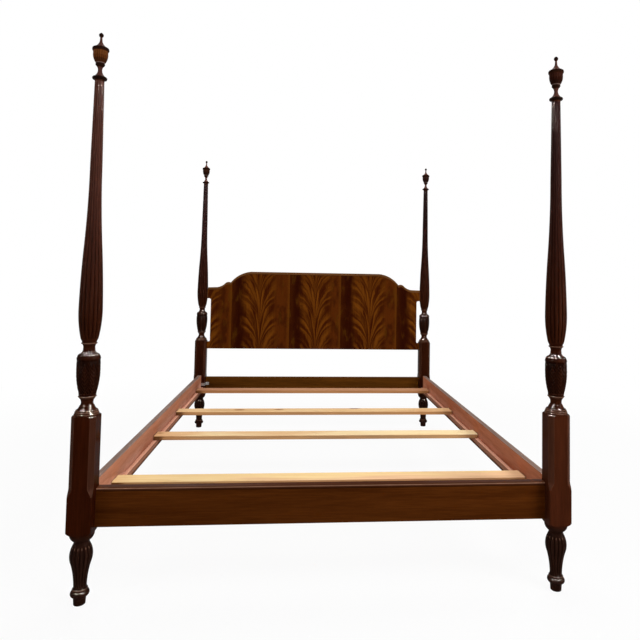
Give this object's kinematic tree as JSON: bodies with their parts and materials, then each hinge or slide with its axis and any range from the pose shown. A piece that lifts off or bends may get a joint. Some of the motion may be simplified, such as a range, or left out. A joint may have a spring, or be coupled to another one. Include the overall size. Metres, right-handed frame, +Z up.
{
  "type": "poster bed",
  "caption": "Four-poster bed with turned reeded posts, urn finials, a shaped flame-veneered headboard, hooked side rails and loose slats, for one mattress.",
  "frame": {"origin": "on the floor, at the middle of the rectangle of the posts", "axes": "+Z up, +Y towards the head of the bed, +X to the right seen from the foot"},
  "size_m": [1.643, 2.166, 1.847],
  "materials": {
    "mahogany_posts": "polished",
    "mahogany_finials": "polished",
    "mahogany_foot_rail": "satin",
    "mahogany_rails": "matte",
    "secondary_wood": "matte",
    "flame_veneer": "polished",
    "mahogany_crest": "polished",
    "pine_slats": "matte",
    "forged_steel": "satin",
    "bright_steel": "satin",
    "screw_steel": "satin"
  },
  "bodies": {
    "bedstead": {"post_foot_left": "mahogany_posts", "post_foot_right": "mahogany_posts", "post_head_left": "mahogany_posts", "post_head_right": "mahogany_posts", "foot_rail": "mahogany_foot_rail", "head_rail": "mahogany_rails", "headboard_core": "secondary_wood", "veneer_middle": "flame_veneer", "veneer_side_left": "flame_veneer", "veneer_side_right": "flame_veneer", "veneer_end_left": "flame_veneer", "veneer_end_right": "flame_veneer", "crest_mould": "mahogany_crest", "hook_pins_foot_left": "forged_steel", "hook_pins_foot_right": "forged_steel", "hook_pins_head_left": "forged_steel", "hook_pins_head_right": "forged_steel", "head_brace_left": "bright_steel", "post_plate_left": "bright_steel", "brace_screws": "bright_steel"},
    "side_rail_left": {"side_rail_left": "mahogany_rails", "ledger_left": "secondary_wood", "ledger_screws_left": "screw_steel", "hook_plate_screws_left": "screw_steel", "hook_plate_foot_left": "forged_steel", "hook_plate_head_left": "forged_steel"},
    "side_rail_right": {"side_rail_right": "mahogany_rails", "ledger_right": "secondary_wood", "ledger_screws_right": "screw_steel", "hook_plate_screws_right": "screw_steel", "hook_plate_foot_right": "forged_steel", "hook_plate_head_right": "forged_steel"},
    "slat_1": {"slat_1": "pine_slats"},
    "slat_2": {"slat_2": "pine_slats"},
    "slat_3": {"slat_3": "pine_slats"},
    "slat_4": {"slat_4": "pine_slats"},
    "finial_foot_left": {"finial_foot_left": "mahogany_finials"},
    "finial_foot_right": {"finial_foot_right": "mahogany_finials"},
    "finial_head_left": {"finial_head_left": "mahogany_finials"},
    "finial_head_right": {"finial_head_right": "mahogany_finials"}
  },
  "joints": [
    {"name": "side_rail_left_lift", "type": "slide", "parent": "bedstead", "child": "side_rail_left", "axis": [0, 0, 1], "range_m": [0, 0.016]},
    {"name": "side_rail_right_lift", "type": "slide", "parent": "bedstead", "child": "side_rail_right", "axis": [0, 0, 1], "range_m": [0, 0.016]},
    {"name": "slat_1_lift", "type": "slide", "parent": "side_rail_left", "child": "slat_1", "axis": [0, 0, 1], "range_m": [0, 0.12]},
    {"name": "slat_2_lift", "type": "slide", "parent": "side_rail_left", "child": "slat_2", "axis": [0, 0, 1], "range_m": [0, 0.12]},
    {"name": "slat_3_lift", "type": "slide", "parent": "side_rail_left", "child": "slat_3", "axis": [0, 0, 1], "range_m": [0, 0.12]},
    {"name": "slat_4_lift", "type": "slide", "parent": "side_rail_left", "child": "slat_4", "axis": [0, 0, 1], "range_m": [0, 0.12]},
    {"name": "finial_foot_left_lift", "type": "slide", "parent": "bedstead", "child": "finial_foot_left", "axis": [0, 0, 1], "range_m": [0, 0.06]},
    {"name": "finial_foot_right_lift", "type": "slide", "parent": "bedstead", "child": "finial_foot_right", "axis": [0, 0, 1], "range_m": [0, 0.06]},
    {"name": "finial_head_left_lift", "type": "slide", "parent": "bedstead", "child": "finial_head_left", "axis": [0, 0, 1], "range_m": [0, 0.06]},
    {"name": "finial_head_right_lift", "type": "slide", "parent": "bedstead", "child": "finial_head_right", "axis": [0, 0, 1], "range_m": [0, 0.06]}
  ],
  "couplings": [
    {"joint": "side_rail_right_lift", "follows": "side_rail_left_lift", "ratio": 1}
  ]
}
